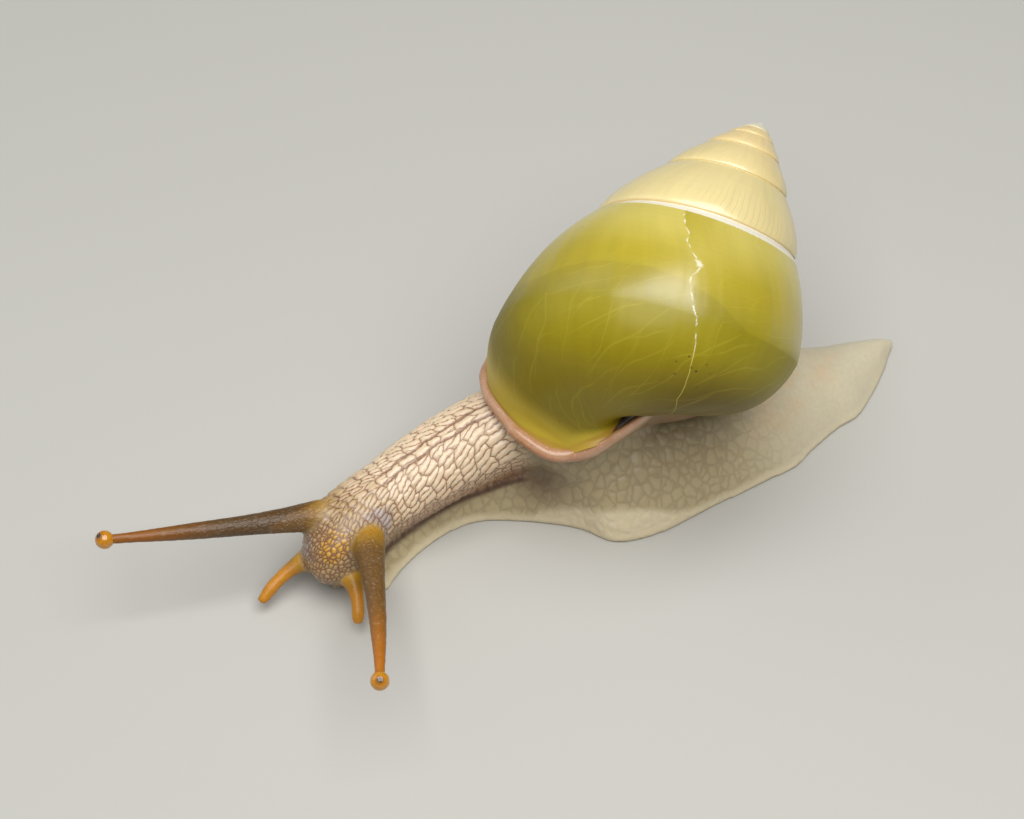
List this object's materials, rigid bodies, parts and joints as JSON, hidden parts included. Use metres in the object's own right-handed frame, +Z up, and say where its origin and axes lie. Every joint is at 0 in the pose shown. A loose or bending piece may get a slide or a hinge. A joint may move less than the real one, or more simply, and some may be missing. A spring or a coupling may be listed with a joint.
{
  "type": "tree snail",
  "caption": "Life-size crawling tree snail with a glossy olive-yellow right-coiled shell, pink lip, wrinkled neck and long spread eye stalks.",
  "frame": {"origin": "on the sole under the shell, at the level of the floor", "axes": "+Z up, the head toward -Y, the tail toward +Y, the animal's left toward +X"},
  "size_m": [0.033, 0.0919, 0.0357],
  "materials": {
    "shell": "glossy olive yellow, cream on the spire",
    "lip": "glossy pinkish brown",
    "skin": "moist beige skin with brown grooves",
    "pale_skin": "moist whitish skin",
    "tentacle": "moist orange-brown skin",
    "eye": "orange-brown bulb with a small black eye"
  },
  "bodies": {
    "root": {"shell": "shell", "shell_lip": "lip", "mantle_collar": "skin", "neck": "skin", "head": "skin", "eye_stalk_left": "tentacle", "eye_stalk_right": "tentacle", "eye_left": "eye", "eye_right": "eye", "lower_tentacle_left": "tentacle", "lower_tentacle_right": "tentacle", "foot_front": "skin", "foot_middle": "skin", "tail": "pale_skin"}
  },
  "joints": []
}
